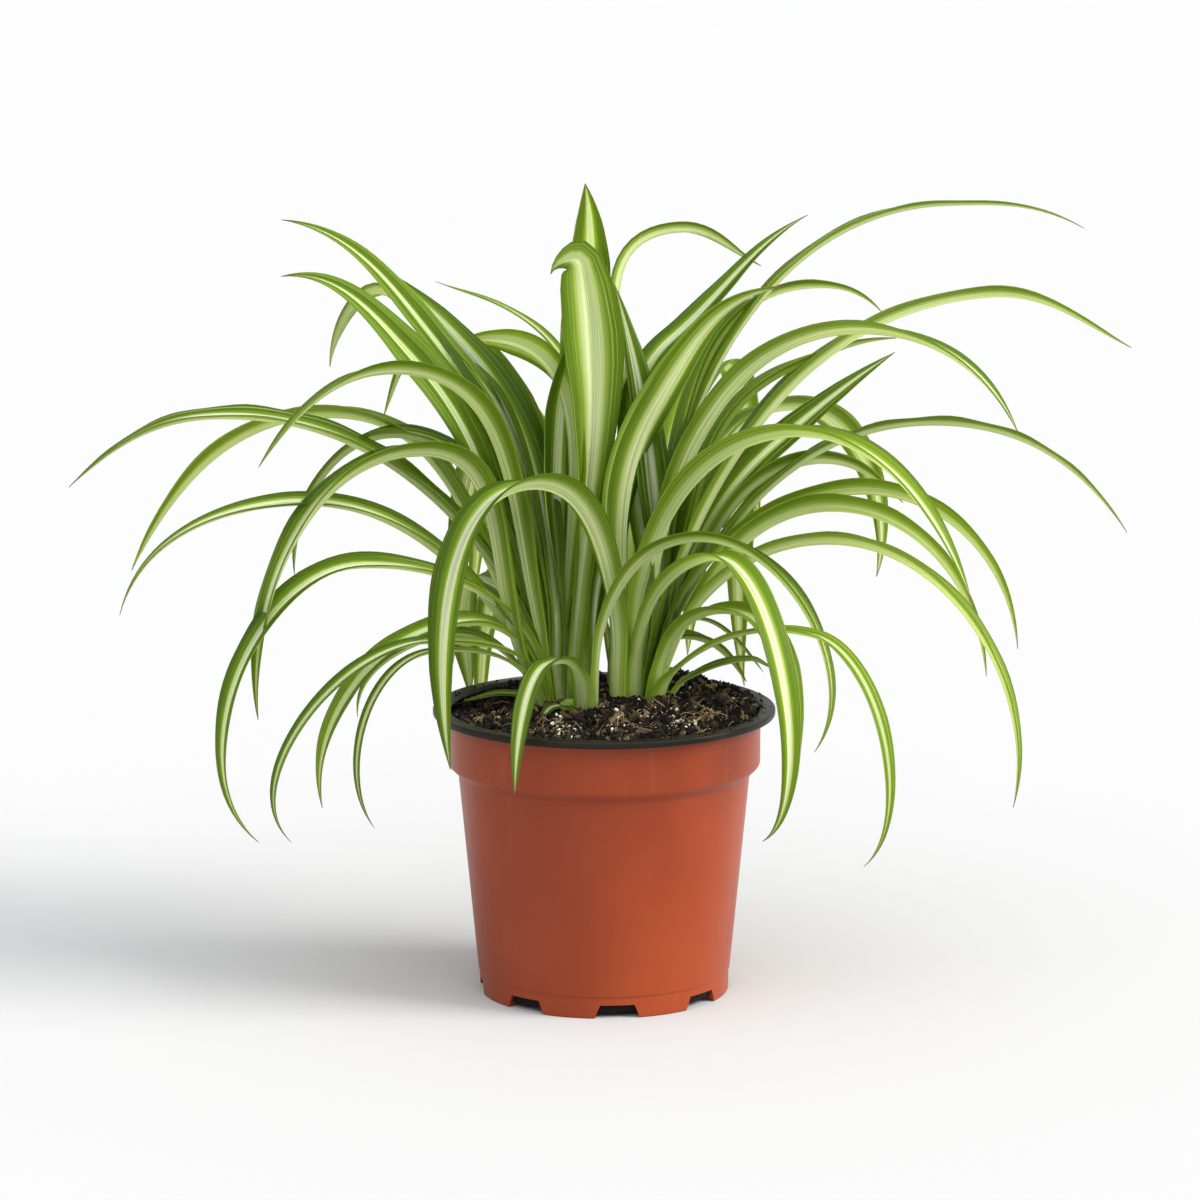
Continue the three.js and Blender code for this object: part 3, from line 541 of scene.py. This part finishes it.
rightLeaves = [
    # The broad arch in front of the left crown
    dict(way=222, lean=6, bend=(53, 216), tip=(93, 105), hang=101, wide=23, turn=(15, -25), at=(-4, -9.5)),
    # High leaves of the middle and the right
    dict(way=148, lean=24, bend=(50, 273), rise=24, tip=(91, 284), hang=-14, wide=9,
         turn=(0, 0), at=(-5, 8)),
    dict(way=25, lean=33, bend=(20, 310), tip=(58, 293), hang=26, wide=19,
         turn=(-35, -30), at=(0, 11), cream=0.3),
    dict(way=172, lean=-6, bend=(-1, 205), rise=84, tip=(15, 290), hang=-74, wide=18,
         turn=(-50, -40), at=(7, -3)),
    dict(way=168, lean=8, bend=(8, 196), rise=78, tip=(18, 262), hang=-76, wide=14,
         turn=(-40, -30), at=(-5, 7)),
    dict(way=32, lean=23, bend=(19, 267), rise=33, tip=(85, 313), hang=-21, wide=14, turn=(25, 20)),
    dict(way=12, lean=2, bend=(131, 320), tip=(190, 308), hang=30, wide=14, turn=(-10, 0)),
    dict(way=22, lean=16, bend=(78, 286), tip=(111, 273), hang=47, wide=20, turn=(-20, 0)),
    dict(way=345, lean=7, bend=(16, 240), rise=60, tip=(69, 292), hang=-8, wide=24,
         turn=(-40, -30), at=(-7, -6), brown=0.05),
    # Arching leaves round the right side
    dict(way=8, lean=12, bend=(147, 284), rise=2, tip=(207, 260), hang=29, wide=24, turn=(-15, 0)),
    dict(way=342, lean=1, bend=(100, 276), rise=-2, tip=(160, 237), hang=64, wide=24, turn=(-15, 15)),
    dict(way=15, lean=26, bend=(67, 254), rise=20, tip=(112, 264), hang=2, wide=22, turn=(-10, -20)),
    dict(way=28, lean=21, bend=(67, 220), rise=34, tip=(124, 254), hang=-26, wide=15, turn=(40, 35)),
    dict(way=12, lean=21, bend=(122, 230), tip=(211, 180), hang=57, wide=15, turn=(-15, 0), cream=0.1),
    dict(way=335, lean=0, bend=(68, 235), rise=10, tip=(149, 173), hang=69, wide=24,
         turn=(-10, 10), at=(-2, -4)),
    dict(way=42, lean=13, bend=(86, 232), rise=-4, tip=(141, 152), hang=108, wide=21, turn=(-20, -30)),
    dict(way=6, lean=9, bend=(93, 204), tip=(160, 136), hang=86, wide=17, turn=(-35, -5)),
    dict(way=18, lean=26, bend=(78, 214), rise=2, tip=(118, 194), hang=44, wide=19, turn=(-35, -10)),
    dict(way=0, lean=29, bend=(81, 199), tip=(145, 128), hang=87, wide=20, turn=(-30, 0)),
    dict(way=350, lean=22, bend=(80, 188), rise=2, tip=(157, 79), hang=103, wide=19, turn=(-15, 10)),
    dict(way=316, lean=52, bend=(99, 159), rise=-4, tip=(126, 69), hang=140, wide=9, turn=(0, 15)),
    dict(way=306, lean=8, bend=(54, 187), rise=16, tip=(90, 77), hang=150, wide=15,
         turn=(-5, 15), at=(-2, -5), brown=0.03),
    dict(way=318, lean=22, bend=(55, 163), rise=-2, tip=(87, 99), hang=92, wide=17, turn=(0, 15)),
    # Small leaves close over the potting mix
    dict(way=350, lean=66, bend=(48, 137), rise=4, tip=(59, 133), hang=16, wide=10, turn=(0, 0)),
    dict(way=20, lean=31, bend=(22, 144), rise=-4, tip=(50, 122), hang=60, wide=13, turn=(0, 0)),
    dict(way=34, lean=21, bend=(20, 147), rise=25, tip=(66, 122), hang=49, wide=6, turn=(0, 0)),
    # The back
    dict(way=66, lean=9, bend=(81, 246), rise=12, tip=(136, 168), hang=76, wide=20, turn=(0, 0)),
    dict(way=66, lean=25, bend=(84, 210), rise=16, tip=(120, 101), hang=65, wide=19, turn=(0, 0)),
    dict(way=91, lean=22, bend=(68, 196), tip=(126, 96), hang=93, wide=15, turn=(0, 0)),
    dict(way=74, lean=40, bend=(86, 171), rise=8, tip=(86, 120), hang=96, wide=17, turn=(0, 0)),
]

blade = {
    "rows": 64, "across": 17, "seed": 31, "pull": 1.15, "steps": 121, "rootHeight": 122,
    "rootReach": ((120, 200, 320), (7, 5, 1.5)),  # height of the crest, start beside the crown's axis
    "width": ((0, .12, .25, .42, .52, .7, .84, .93, 1), (.45, .54, .74, .97, 1, .86, .55, .27, .02)),
    "fold": ((0, .2, .5, .8, 1), (40, 34, 24, 22, 26)),  # degrees that each half folds up, root to tip
    "thick": 0.55, "rootThick": 0.9, "rib": 0.35, "ribWidth": 0.13, "margin": 0.25,
    "keelRound": 0.12, "arch": 0.09, "wave": (0.1, 0.45), "waveLength": (36, 70), "otherWave": 1.2,
    "sheathLength": 48, "sheathRadius": 8.5, "sheathDrop": 9, "dropLength": 16, "leastSheath": 11,
    "sheathOut": 3.5, "outBelow": 270,  # leaves with a lower crest start further out
    "dryTip": 0.012, "sharpAngle": 50,
}


def leafLine(leaf, spec):
    # two cubic curves, root to bend and bend to tip, each (2t^3-3t^2+1) a + (t^3-2t^2+t) leave
    # + (3t^2-2t^3) b + (t^3-t^2) arrive, then read at even steps of length
    start = 0 if "at" in leaf else np.interp(leaf["bend"][1], *spec["rootReach"])
    root = np.array([start, spec["rootHeight"]])
    slope = lambda degrees: np.array([np.cos(np.radians(degrees)), np.sin(np.radians(degrees))])
    t = np.linspace(0, 1, spec["steps"])[:, None]

    def curve(a, b, leave, arrive):
        pull = spec["pull"] * np.linalg.norm(b - a)
        return ((2 * t ** 3 - 3 * t ** 2 + 1) * a + (t ** 3 - 2 * t ** 2 + t) * pull * leave
                + (3 * t ** 2 - 2 * t ** 3) * b + (t ** 3 - t ** 2) * pull * arrive)

    bend, tip = np.array(leaf["bend"], float), np.array(leaf["tip"], float)
    first = curve(root, bend, slope(90 - leaf["lean"]), slope(leaf.get("rise", 0)))
    second = curve(bend, tip, slope(leaf.get("rise", 0)), slope(-leaf["hang"]))
    line = np.concatenate([first, second[1:]])
    run = np.concatenate([[0], np.cumsum(np.linalg.norm(np.diff(line, axis=0), axis=1))])
    share = np.linspace(0, 1, spec["rows"])
    even = np.stack([np.interp(share * run[-1], run, line[:, k]) for k in (0, 1)], -1)
    return even, run[spec["steps"] - 1] / run[-1], run[-1], share


def makeBlade(leaf, crown, spec, draws):
    # a channelled strip: at each step x = h u cos(fold), y = h (sin(fold)(|u| - 1/2) + arch sin(pi |u|)),
    # near the root blended into a clasping arc, x = R sin(hu/R), y = R (1 - cos(hu/R)) - h/5, with
    # wavy margins, thickened along its own normals
    line, bendShare, length, share = leafLine(leaf, spec)
    way = np.radians(leaf["way"])
    out = np.array([np.cos(way), np.sin(way), 0])
    start = np.array([*(np.array(crown) + leaf.get("at", (0, 0))), 0.0])
    near = 1 - smooth(share * length, 0, spec["sheathLength"])
    outward = spec["sheathOut"] * near ** 2 * (leaf["bend"][1] < spec["outBelow"])
    reach = line[:, :1] + outward[:, None]
    spine = start + out * reach
    spine[:, 2] = line[:, 1] - spec["sheathDrop"] * (1 - smooth(share * length, 0, spec["dropLength"])) ** 2
    ahead = np.gradient(spine, axis=0)
    ahead /= np.linalg.norm(ahead, axis=1)[:, None]
    flat = np.array([out[1], -out[0], 0.0])
    normal = np.cross(flat, ahead)
    roll = np.radians(np.interp(share, [0, bendShare, 1], [0, leaf["turn"][0], leaf["turn"][1]]))[:, None]
    side = flat * np.cos(roll) - normal * np.sin(roll)
    up = normal * np.cos(roll) + flat * np.sin(roll)

    half = leaf["wide"] / 2 * np.interp(share ** leaf.get("blunt", 1), *spec["width"])
    sheath = min(spec["leastSheath"] / 2, 0.75 * leaf["wide"])
    half = np.maximum(half, sheath * near)[:, None]
    fold = np.radians(np.interp(share, *spec["fold"]))[:, None]
    u = np.sin(np.linspace(-0.5, 0.5, spec["across"]) * np.pi)[None, :]  # closer together at the margins
    soft = np.sqrt(u ** 2 + spec["keelRound"] ** 2)
    soft = (soft - soft.min()) / (soft.max() - soft.min())
    x = half * u * np.cos(fold)
    y = half * (np.sin(fold) * (soft - 0.5) + spec["arch"] * np.sin(np.pi * np.abs(u)))
    arc = half * u / spec["sheathRadius"]
    clasp = near[:, None]
    x = x * (1 - clasp) + clasp * spec["sheathRadius"] * np.sin(arc)
    y = y * (1 - clasp) + clasp * (spec["sheathRadius"] * (1 - np.cos(arc)) - half * 0.2)

    ripple = draws.uniform(*spec["wave"]) * np.minimum(1, half / 7)
    phase = draws.uniform(0, 2 * np.pi, 2)
    wave = 2 * np.pi * share[:, None] * length / draws.uniform(*spec["waveLength"])
    margins = np.where(u < 0, np.sin(wave + phase[0]), np.sin(wave * spec["otherWave"] + phase[1]))
    y = y + ripple * u ** 2 * margins * (1 - clasp)

    middle = spine[:, None] + side[:, None] * x[..., None] + up[:, None] * y[..., None]
    facing = np.cross(np.gradient(middle, axis=1), np.gradient(middle, axis=0))
    facing /= np.linalg.norm(facing, axis=2)[..., None] + 1e-12
    body = spec["thick"] + (spec["rootThick"] - spec["thick"]) * clasp
    thick = body * (1 - (1 - spec["margin"]) * np.abs(u) ** 5) * np.minimum(1, half / 2 + 0.25)
    ribbed = spec["rib"] * np.exp(-(u / spec["ribWidth"]) ** 2) * np.minimum(1, half / 6)
    top = middle + facing * (thick / 2)[..., None]
    below = middle - facing * (thick / 2 + ribbed)[..., None]
    ring = np.concatenate([top, below[:, ::-1]], axis=1)
    return ring, share, length


bakeStrip = {"start": 0.05, "wide": 0.86, "edge": 0.04, "foot": 0.03, "tall": 0.94,
             "capMiddle": (0.012, 0.988), "capSize": (0.3, 0.01)}


def bladeMaps(spec, index, count, share, length, seed):
    # "blade" map: across 0 to 1, and length in tenths of a metre; "OFBake" map: two rows of leaves, each
    # with one upright strip for its top and one for its underside, the edge faces a sliver beside them
    n = spec["across"]
    step = 0.5 + 0.5 * np.sin(np.linspace(-0.5, 0.5, n) * np.pi)
    pairs = np.stack([step[:-1], step[1:]], -1)
    across = np.concatenate([pairs, [[1, 1]], 1 - pairs, [[0, 0]]])
    strip = pairs * bakeStrip["wide"] + bakeStrip["start"]
    edge = np.array([[bakeStrip["start"] + bakeStrip["wide"]] * 2]) + [0, bakeStrip["edge"]]
    strips = np.concatenate([strip, edge, strip + 1, edge + 1])
    perRow = int(np.ceil(count / 2))
    wide, high = 1 / (2 * perRow), 1 / 2
    left, base = (index % perRow) * 2 * wide, (index // perRow) * high
    v0, v1 = share[:-1], share[1:]

    def corners(pairs, low, tall, shift, stretch):
        # corner order of each quad: row start, row end, next row end, next row start
        xs = shift + stretch * pairs[None, :, [0, 1, 1, 0]] + 0 * v0[:, None, None]
        ys = low + tall * np.stack([v0, v0, v1, v1], -1)[:, None, :] + 0 * xs
        return np.stack([xs, ys], -1).reshape(-1, 2)

    pattern = corners(across, seed, length / 100, 0, 1)
    bake = corners(strips, base + high * bakeStrip["foot"], high * bakeStrip["tall"], left, wide)
    ends = 2 * n
    a = np.arange(ends) * 2 * np.pi / ends
    circle = np.stack([np.cos(a), np.sin(a)], -1) * np.array([wide, high]) * bakeStrip["capSize"]
    caps = [np.array([left + wide / 2, base + high * y]) + circle for y in bakeStrip["capMiddle"]]
    flat = [np.tile([0.5, seed + length / 100 * y], (ends, 1)) for y in (0, 1)]
    return np.concatenate([pattern, *flat]), np.concatenate([bake, *caps])


leafNumbers = ("underside", "along", "fromRoot", "tone", "dull", "cream", "brown")


def makeCrown(name, leaves, crown, spec, look, *nodes):
    # all the leaves of one crown as one mesh: a closed ring of points at each step, a cap at each end
    draws = np.random.default_rng(spec["seed"] + len(leaves))
    points, faces, patterns, bakes, numbers = [], [], [], [], []
    loop = 2 * spec["across"]
    quads = gridFaces(spec["rows"], loop)
    first = 0
    for index, leaf in enumerate(leaves):
        ring, share, length = makeBlade(leaf, crown, spec, draws)
        tone = draws.uniform(-1, 1)
        points.append(ring.reshape(-1, 3))
        faces += (quads + first).tolist()
        faces.append((first + np.arange(loop)[::-1]).tolist())
        faces.append((first + (spec["rows"] - 1) * loop + np.arange(loop)).tolist())
        pattern, bake = bladeMaps(spec, index, len(leaves), share, length, 4 * index + 2 * tone)
        patterns.append(pattern)
        bakes.append(bake)
        under = np.tile(np.repeat([0.0, 1.0], spec["across"]), (len(share), 1))
        along = np.repeat(share[:, None], loop, 1)
        same = [value + 0 * along for value in (tone, leaf.get("dull", 0), leaf.get("cream", 0))]
        brown = smooth(along, 1 - leaf.get("brown", spec["dryTip"]), 1)
        row = np.stack([under, along, along * length / 100, *same, brown], -1)
        numbers.append(row.reshape(-1, len(leafNumbers)))
        first += ring.shape[0] * loop
    piece = makePiece(name, np.concatenate(points), faces, [look])
    for mapName, values in (("blade", patterns), ("OFBake", bakes)):
        layer = piece.data.uv_layers.new(name=mapName)
        layer.data.foreach_set("uv", np.concatenate(values).astype(np.float32).ravel())
    numbers = np.concatenate(numbers)
    for k, label in enumerate(leafNumbers):
        setNumbers(piece, label, numbers[:, k])
    piece.data.set_sharp_from_angle(angle=np.radians(spec["sharpAngle"]))
    hold(piece, "leaf", *nodes)


# upper, lower, root: colours from the midrib (0) to the margin (1), for the two faces and for the root; the
# paler last stop at the margin of upper and lower is a painted highlight along the edge
leafPaint = {
    # the stop at 1.0 in upper and lower is a painted edge highlight
    "upper": [(0.0, "#e3ebbb"), (0.05, "#f8fbe8"), (0.23, "#f6f9e2"), (0.26, "#e2ecb2"), (0.30, "#acc852"),
              (0.35, "#709129"), (0.48, "#597a20"), (0.72, "#4e6c1c"), (0.94, "#405d18"), (1.0, "#66862c")],
    "lower": [(0.0, "#dae3a4"), (0.06, "#f1f5ca"), (0.32, "#eaf0ba"), (0.39, "#cedb87"), (0.46, "#abc25b"),
              (0.54, "#89a739"), (0.66, "#6f8e24"), (0.80, "#617f1d"), (0.94, "#597619"), (1.0, "#90a948")],
    "root": [(0.0, "#f0f6c4"), (0.36, "#ebf2b4"), (0.48, "#cde080"), (0.62, "#b1ce56"), (1.0, "#97b83c")],
    "rootEnd": "#a9bd55", "thinLines": "#c3d672", "young": "#a6bb2a", "dried": "#86683a", "light": "#def078",
    "through": 0.53,  # share of the light that passes through the leaf
    "streaks": [(8, 0.6, 2), (24, 0.5, 2), (64, 1.0, 1)],  # how many across a leaf, in a decimetre, detail
    "wander": (0.22, 0.2), "bandWave": 9, "bandVary": 0.14, "toneVary": 0.15,
}


def leafMaterial(spec):
    # a living leaf: waxy skin with a soft gloss, much light through it, fine ribs along it;
    # cream down the middle, green to the margins with a painted highlight on the very edge, thin bright
    # lines, pale and yellowish at the root
    material, tree = newMaterial("spider_plant_leaf")
    place = add(tree, "UVMap", uv_map="blade")
    x = add(tree, "SeparateXYZ", {0: place})
    under, along, fromRoot, tone, dull, cream, brown = (
        add(tree, "Attribute", out="Fac", attribute_name=name) for name in leafNumbers)

    # noise drawn out along the leaf, so it makes lines
    noises = []
    for across, lengthwise, detail in spec["streaks"]:
        drawnOut = add(tree, "Mapping", {"Vector": place, "Scale": (across, lengthwise, 1)})
        noises.append(add(tree, "TexNoise", {"Vector": drawnOut, "Scale": 1, "Detail": detail,
                                             "Roughness": 0.6}))
    broad, fine, ribs = noises

    # 0 at the midrib and 1 at the margin, then shaken by the lines and scaled by the leaf's own band
    middle = add(tree, "Math", {0: x, 1: 2, 2: -1}, operation="MULTIPLY_ADD")
    middle = add(tree, "Math", {0: middle}, operation="ABSOLUTE")
    wander = middle
    for noise, most in zip(noises, spec["wander"]):
        centred = add(tree, "Math", {0: noise, 1: 0.5}, operation="SUBTRACT")
        wander = add(tree, "Math", {0: centred, 1: most, 2: wander}, operation="MULTIPLY_ADD")
    band = add(tree, "Math", {0: tone, 1: spec["bandWave"]}, operation="MULTIPLY")
    band = add(tree, "Math", {0: band}, operation="SINE")
    band = add(tree, "Math", {0: band, 1: spec["bandVary"], 2: 1}, operation="MULTIPLY_ADD")
    band = add(tree, "Math", {0: band, 1: cream}, operation="SUBTRACT")
    wander = add(tree, "Math", {0: wander, 1: band}, operation="MULTIPLY")
    upper, lower, root = (add(tree, "ValToRGB", {"Fac": wander}, spec[face])
                          for face in ("upper", "lower", "root"))

    # value, its two ends, and what they become
    paler = add(tree, "Math", {0: under, 1: dull}, operation="MAXIMUM")
    ranges = [(along, 0.42, 0.05, 0, 0.9), (fine, 0.57, 0.66, 0, 0.7), (middle, 0.25, 0.5, 0, 1),
              (fine, 0.4, 0.6, 0.76, 1.16), (ribs, 0.4, 0.6, 0.86, 1.08), (tone, 0, 1, 0, 0.3),
              (fromRoot, 0.14, 0.02, 0, 0.4), (paler, 0, 1, 0.38, 0.5)]
    rootPale, thin, outer, lines, ribLines, young, rootEnd, rough = (
        add(tree, "MapRange", {"Value": value, "From Min": a, "From Max": b, "To Min": c, "To Max": d})
        for value, a, b, c, d in ranges)
    thin = add(tree, "Math", {0: thin, 1: outer}, operation="MULTIPLY")
    lines = add(tree, "Math", {0: lines, 1: ribLines}, operation="MULTIPLY")
    shade = add(tree, "Math", {0: tone, 1: spec["toneVary"], 2: lines}, operation="MULTIPLY_ADD")
    grey = add(tree, "CombineXYZ", {0: shade, 1: shade, 2: shade})

    # layers of colour, the lowest first: share, colour, how it is laid on
    colour = upper
    layers = [(paler, lower, "MIX"), (rootPale, root, "MIX"), (thin, linear(spec["thinLines"]), "MIX"),
              (1, grey, "MULTIPLY"), (young, linear(spec["young"]), "MIX"),
              (rootEnd, linear(spec["rootEnd"]), "MIX"), (brown, linear(spec["dried"]), "MIX")]
    for share, layer, how in layers:
        colour = add(tree, "Mix", {0: share, 6: colour, 7: layer}, out=2, data_type="RGBA", blend_type=how)
    glow = add(tree, "Mix", {0: 0.5, 6: colour, 7: linear(spec["light"])}, out=2, data_type="RGBA")

    relief = add(tree, "Math", {0: ribs, 1: 0.6, 2: fine}, operation="MULTIPLY_ADD")
    bump = add(tree, "Bump", {"Height": relief, "Strength": 0.6, "Distance": 0.00035})
    skin = add(tree, "BsdfPrincipled", {"Base Color": colour, "Roughness": rough, "Normal": bump,
                                        "IOR": 1.42, "Specular IOR Level": 0.22})
    through = add(tree, "BsdfTranslucent", {"Color": glow, "Normal": bump})
    both = add(tree, "MixShader", {0: spec["through"], 1: skin, 2: through})
    add(tree, "OutputMaterial", {"Surface": both})
    return material


leafLook = leafMaterial(leafPaint)
makeCrown("leaves_left", leftLeaves, crowns["left"], blade, leafLook, "crown_left")
makeCrown("leaves_right", rightLeaves, crowns["right"], blade, leafLook, "crown_right")
print("leaves made")

# Stem bases: short and pale, wrapped in the lowest leaf bases; their colours are darkened to a shaded green
# as painted shade
stem = {
    "sides": 96, "round": 1.2, "folds": 7, "foldDepth": 0.35, "foldFrom": 5,
    "profile": [(0, 99), (6, 99.5), (8.9, 105), (9.4, 111), (8.4, 115.5), (5.6, 119), (2.8, 120.6),
                (0, 121)],
    # painted shade: these are the leaf bases' own green, darkened to how they look in the shade of the crown
    "colours": [(0.35, "#6f8a33"), (0.5, "#93ab4c"), (0.65, "#b6c670")],
}


def stemMaterial(stops):
    # leek-like leaf bases: pale and moist, with soft lines 1.4 and 6 mm apart that run up them; the colour
    # ramp is darkened as painted shade
    material, tree = newMaterial("stem_base")
    drawnOut = add(tree, "Mapping", {"Vector": add(tree, "TexCoord", out="Object"), "Scale": (1, 1, 0.05)})
    lines = add(tree, "TexNoise", {"Vector": drawnOut, "Scale": 700, "Detail": 3, "Roughness": 0.6})
    patches = add(tree, "TexNoise", {"Vector": drawnOut, "Scale": 160, "Detail": 3})
    both = add(tree, "Math", {0: lines, 1: patches}, operation="ADD")
    level = add(tree, "Math", {0: both, 1: 0.5}, operation="MULTIPLY")
    colour = add(tree, "ValToRGB", {"Fac": level}, stops)
    bump = add(tree, "Bump", {"Height": lines, "Strength": 0.4, "Distance": 0.0003})
    shader = add(tree, "BsdfPrincipled", {"Base Color": colour, "Roughness": 0.45, "Normal": bump,
                                          "Specular IOR Level": 0.3})
    add(tree, "OutputMaterial", {"Surface": shader})
    return material


stemShadedLook = stemMaterial(stem["colours"])
for side, (x, y) in crowns.items():
    points, faces = turned(rounded([(r, z, stem["round"]) for r, z in stem["profile"]]), stem["sides"])
    # shallow folds up the side: radius times 1 + depth min(1, r/5) cos(7a) / r
    a, r = np.arctan2(points[:, 1], points[:, 0]), np.hypot(points[:, 0], points[:, 1]) + 1e-6
    depth = stem["foldDepth"] * np.minimum(1, r / stem["foldFrom"])
    points[:, :2] *= (1 + depth * np.cos(stem["folds"] * a) / r)[:, None]
    piece = makePiece("stem_" + side, points + [x, y, 0], faces, [stemShadedLook])
    hold(piece, "leaf")
print("stems made")


floorSpec = {"rings": (400, 1500, 5000, 15000, 30000), "sides": 64, "below": 0.05,
             "colours": [(0.3, "#c2c2c2"), (0.7, "#c3c3c3")]}


def floorMaterial(stops):
    # seamless studio paper: matt, nearly white, hardly mottled
    material, tree = newMaterial("studio_paper")
    mottle = add(tree, "TexNoise", {"Vector": add(tree, "TexCoord", out="Object"), "Scale": 3, "Detail": 2})
    colour = add(tree, "ValToRGB", {"Fac": mottle}, stops)
    shader = add(tree, "BsdfPrincipled", {"Base Color": colour, "Roughness": 0.95,
                                          "Specular IOR Level": 0.1})
    add(tree, "OutputMaterial", {"Surface": shader})
    return material


# a flat disc 60 m across: (r cos a, r sin a) on rings that grow outwards, one face in the middle
sides = floorSpec["sides"]
a = np.linspace(0, 2 * np.pi, sides, endpoint=False)
rings = np.array(floorSpec["rings"], float)[:, None]
disc = np.stack([rings * np.cos(a), rings * np.sin(a), 0 * rings * a], -1).reshape(-1, 3)
floorFaces = gridFaces(len(rings), sides)[:, ::-1].tolist() + [list(range(sides))]
paper = floorMaterial(floorSpec["colours"])
floor = makePiece("floor", disc - [0, 0, floorSpec["below"]], floorFaces, [paper])

# a broad soft light from the right, a little to the front, a wide one overhead, even white light all round
lights = {"softbox": {"from": (0.84, -0.24, 0.50), "strength": 3.9, "spread": 30, "colour": "#fffdf9"},
          "overhead": {"from": (0.05, -0.6, 1.0), "strength": 1.35, "spread": 70, "colour": "#fbfcff"}}
surround = {"strength": 0.87, "colour": "#fbfcff"}
for name, spec in lights.items():
    lamp = bpy.data.lights.new(name, "SUN")
    lamp.energy, lamp.angle = spec["strength"], np.radians(spec["spread"])
    lamp.color = linear(spec["colour"])[:3]
    holder = bpy.data.objects.new(name, lamp)
    x, y, z = spec["from"]
    holder.rotation_euler = (float(np.arctan2(np.hypot(x, y), z)), 0, float(np.arctan2(x, -y)))
    scene.collection.objects.link(holder)

world = bpy.data.worlds.new("studio")
world.use_nodes = True
background = world.node_tree.nodes["Background"].inputs
background["Color"].default_value = linear(surround["colour"])
background["Strength"].default_value = surround["strength"]
scene.world = world
scene.view_settings.view_transform = "Standard"
scene.view_settings.look = "None"

view = {"place": (-0.00168, -2.0, 0.544), "down": 10.81, "lens": 150.06, "sensor": 36}
camera = bpy.data.objects.new("camera", bpy.data.cameras.new("camera"))
camera.location = view["place"]
camera.rotation_euler = (np.radians(90 - view["down"]), 0, 0)
camera.data.lens, camera.data.sensor_width = view["lens"], view["sensor"]
scene.collection.objects.link(camera)
scene.camera = camera
print("studio set")
